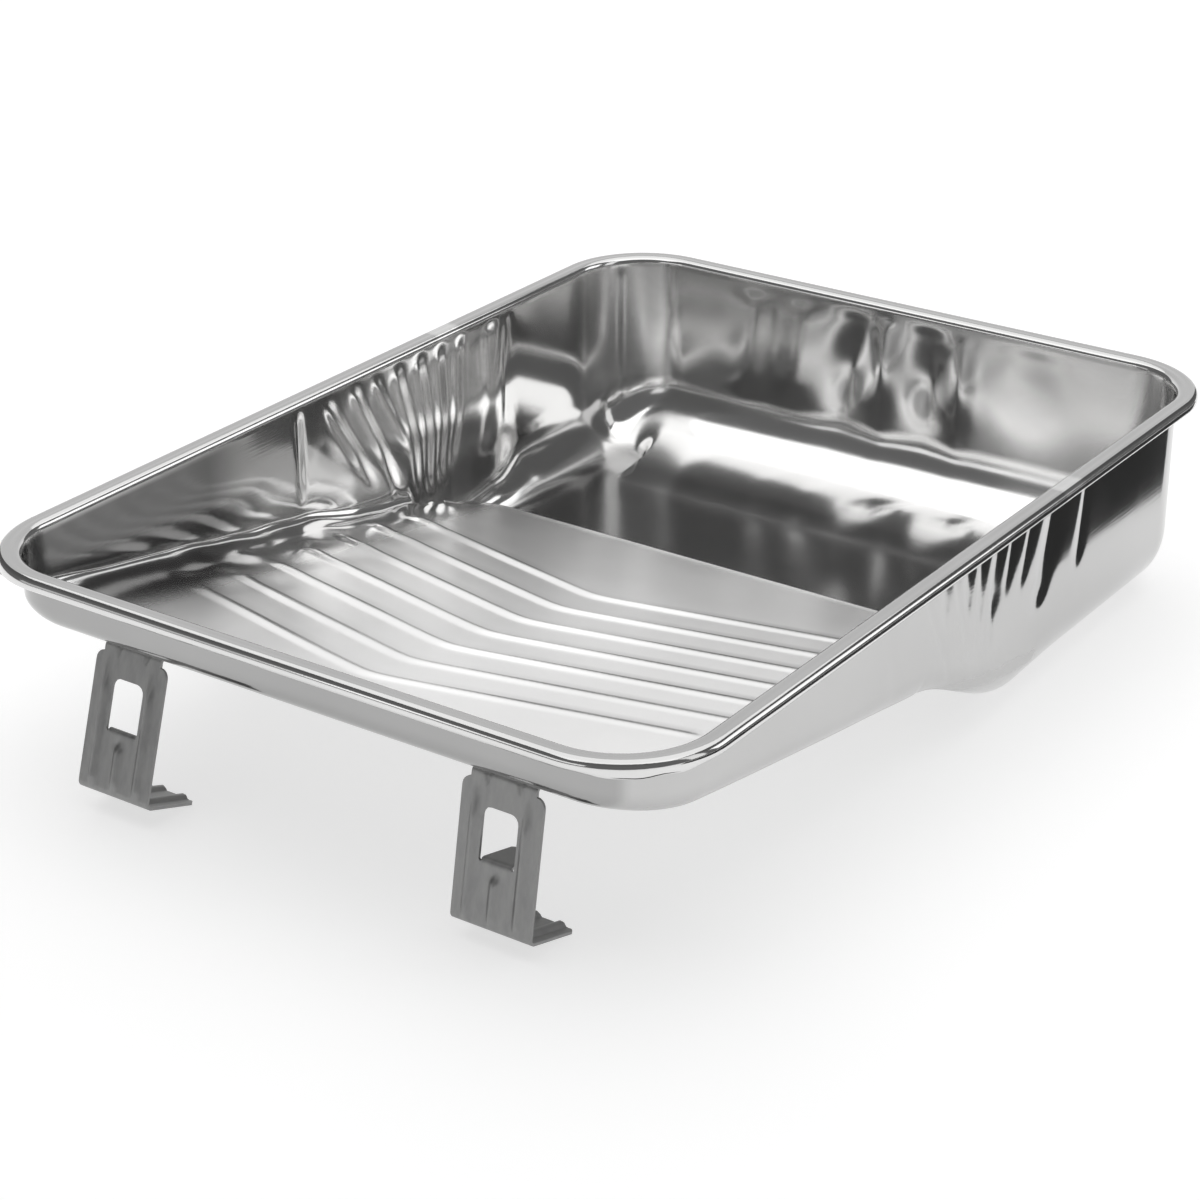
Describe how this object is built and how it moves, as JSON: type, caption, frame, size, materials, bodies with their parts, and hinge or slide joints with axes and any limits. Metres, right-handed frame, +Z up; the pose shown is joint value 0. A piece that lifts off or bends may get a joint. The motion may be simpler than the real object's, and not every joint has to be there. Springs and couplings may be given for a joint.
{
  "type": "paint roller tray",
  "caption": "Pressed sheet-metal paint roller tray with a deep well, a ribbed sloping ramp, a rolled rim and two stamped legs that hold the shallow end level.",
  "frame": {"origin": "on the surface the tray stands on, under the middle of its rim", "axes": "+X across the tray to the right, +Y from the shallow end with the legs towards the deep well, +Z up"},
  "size_m": [0.28, 0.392, 0.0805],
  "materials": {
    "tinplate": "bright tinned sheet, mirror-like where it was drawn, satin on the ramp",
    "galvanised_steel": "dull grey zinc",
    "weld": "dull, darkened by heat"
  },
  "bodies": {
    "root": {"tray_pan": "tinplate", "left_leg": "galvanised_steel", "right_leg": "galvanised_steel", "left_leg_welds": "weld", "right_leg_welds": "weld"}
  },
  "joints": []
}
